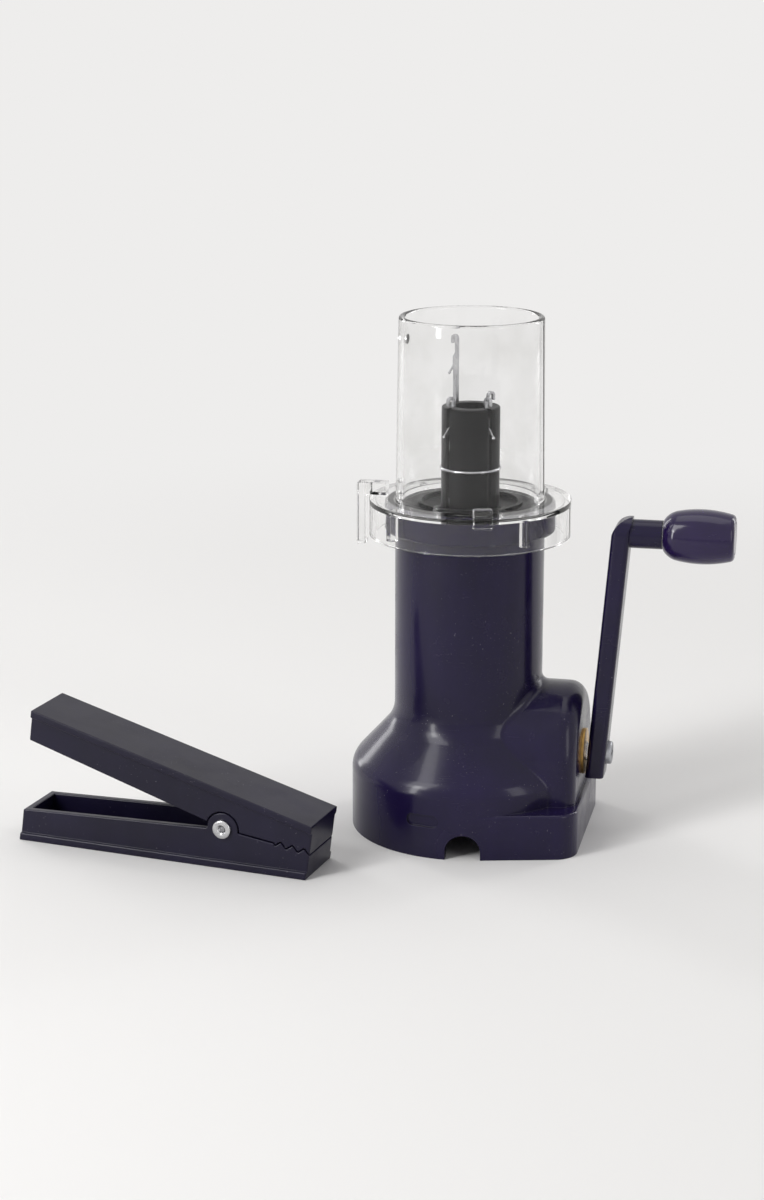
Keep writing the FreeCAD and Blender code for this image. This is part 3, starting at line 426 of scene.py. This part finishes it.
# ---------------------------------------------------------------- stage
def paper_material():
    """Pale paper that catches the shadow near the object and fades into the even pale behind it."""
    paint = Paint("paper", Specular_IOR_Level=0.15)
    fibre = paint.relief(paint.noise(FIBRE, 3.0), FIBRE_DEPTH, 0.3)
    paint.finish(linear(PAPER), 0.8, fibre)
    glow = paint.add("Emission", Color=linear(PAPER), Strength=1.0)
    away = paint.add("VectorMath", {"operation": "LENGTH"}, Vector=paint.place).outputs["Value"]
    share = paint.add("MapRange", {"interpolation_type": "SMOOTHSTEP"}, Value=away,
                      From_Min=FADE_START, From_Max=FADE_END).outputs["Result"]
    path = paint.add("LightPath")
    seen = paint.math("MAXIMUM", path.outputs["Is Camera Ray"], path.outputs["Is Transmission Ray"])
    blend = paint.add("MixShader")
    paint.feed(blend.inputs[0], paint.math("MULTIPLY", share, seen))
    paint.feed(blend.inputs[1], paint.shader.outputs["BSDF"])
    paint.feed(blend.inputs[2], glow.outputs["Emission"])
    paint.feed(paint.tree.nodes["Material Output"].inputs["Surface"], blend.outputs["Shader"])
    return paint.material


def make_floor():
    """Round flat sheet under the object."""
    mesh = bpy.data.meshes.new("floor")
    sheet = bmesh.new()
    bmesh.ops.create_circle(sheet, cap_ends=True, radius=FLOOR_RADIUS, segments=FLOOR_SIDES)
    sheet.to_mesh(mesh)
    sheet.free()
    obj = bpy.data.objects.new("floor", mesh)
    bpy.context.scene.collection.objects.link(obj)
    mesh.materials.append(paper_material())
    return obj


def make_world():
    """Even pale where it is seen, mirrored or seen through plastic, and a soft fill elsewhere."""
    world = bpy.data.worlds.new("studio")
    bpy.context.scene.world = world
    world.use_nodes = True
    tree = world.node_tree
    fill = tree.nodes["Background"]
    fill.inputs["Color"].default_value = linear(PAPER)
    side = tree.nodes.new("ShaderNodeSeparateXYZ")
    where = tree.nodes.new("ShaderNodeTexCoord")
    tree.links.new(where.outputs["Generated"], side.inputs[0])
    depth = tree.nodes.new("ShaderNodeMapRange")
    depth.interpolation_type = "SMOOTHSTEP"
    for socket, value in zip(("From Min", "From Max", "To Min", "To Max"),
                             (*FILL_RANGE, FILL_FRONT, FILL_BACK)):
        depth.inputs[socket].default_value = value
    tree.links.new(side.outputs["Y"], depth.inputs["Value"])
    tree.links.new(depth.outputs["Result"], fill.inputs["Strength"])
    seen = tree.nodes.new("ShaderNodeBackground")
    seen.inputs["Color"].default_value = linear(PAPER)
    seen.inputs["Strength"].default_value = 1.0
    path = tree.nodes.new("ShaderNodeLightPath")
    share = path.outputs["Is Camera Ray"]
    for ray in ("Is Glossy Ray", "Is Transmission Ray"):
        either = tree.nodes.new("ShaderNodeMath")
        either.operation = "MAXIMUM"
        tree.links.new(share, either.inputs[0])
        tree.links.new(path.outputs[ray], either.inputs[1])
        share = either.outputs[0]
    blend = tree.nodes.new("ShaderNodeMixShader")
    tree.links.new(share, blend.inputs[0])
    tree.links.new(fill.outputs["Background"], blend.inputs[1])
    tree.links.new(seen.outputs["Background"], blend.inputs[2])
    tree.links.new(blend.outputs["Shader"], tree.nodes["World Output"].inputs["Surface"])


def aim(obj, place, target):
    """Put a lamp or the camera in a place and point it at the target."""
    obj.location = place
    obj.rotation_euler = (target - Vector(place)).to_track_quat("-Z", "Y").to_euler()


def make_lamp(name, place, size, power):
    data = bpy.data.lights.new(name, "AREA")
    data.shape = "RECTANGLE"
    data.size, data.size_y = size
    data.energy = power
    obj = bpy.data.objects.new(name, data)
    bpy.context.scene.collection.objects.link(obj)
    aim(obj, place, VIEW_TARGET)


def make_camera():
    """The printed view's angle: a little from the crank's side and from above, close up."""
    azimuth = math.radians(VIEW_AZIMUTH)
    elevation = math.radians(VIEW_ELEVATION)
    back = Vector((math.sin(azimuth) * math.cos(elevation),
                   -math.cos(azimuth) * math.cos(elevation), math.sin(elevation)))
    data = bpy.data.cameras.new("camera")
    data.lens = VIEW_LENS
    data.sensor_width = 36
    data.clip_start = 0.02
    data.clip_end = 20
    obj = bpy.data.objects.new("camera", data)
    bpy.context.scene.collection.objects.link(obj)
    aim(obj, VIEW_TARGET + back * VIEW_DISTANCE, VIEW_TARGET)
    bpy.context.scene.camera = obj


# ---------------------------------------------------------------- put together
materials = make_materials()
for part in frame["record"]["subparts"]:
    dress(frame["nodes"][part["node"]], materials[part["material_slot"]],
          EDGES.get(part["node"], 0.0))

spring_half("spring_lower_half", -1, "clip", "clip_spring_lower")
spring_half("spring_upper_half", 1, "clip_lever", "clip_spring_upper")

make_floor()
make_world()
make_camera()
for lamp, settings in LAMPS.items():
    make_lamp(lamp, *settings)
bpy.context.scene.view_settings.view_transform = "Standard"
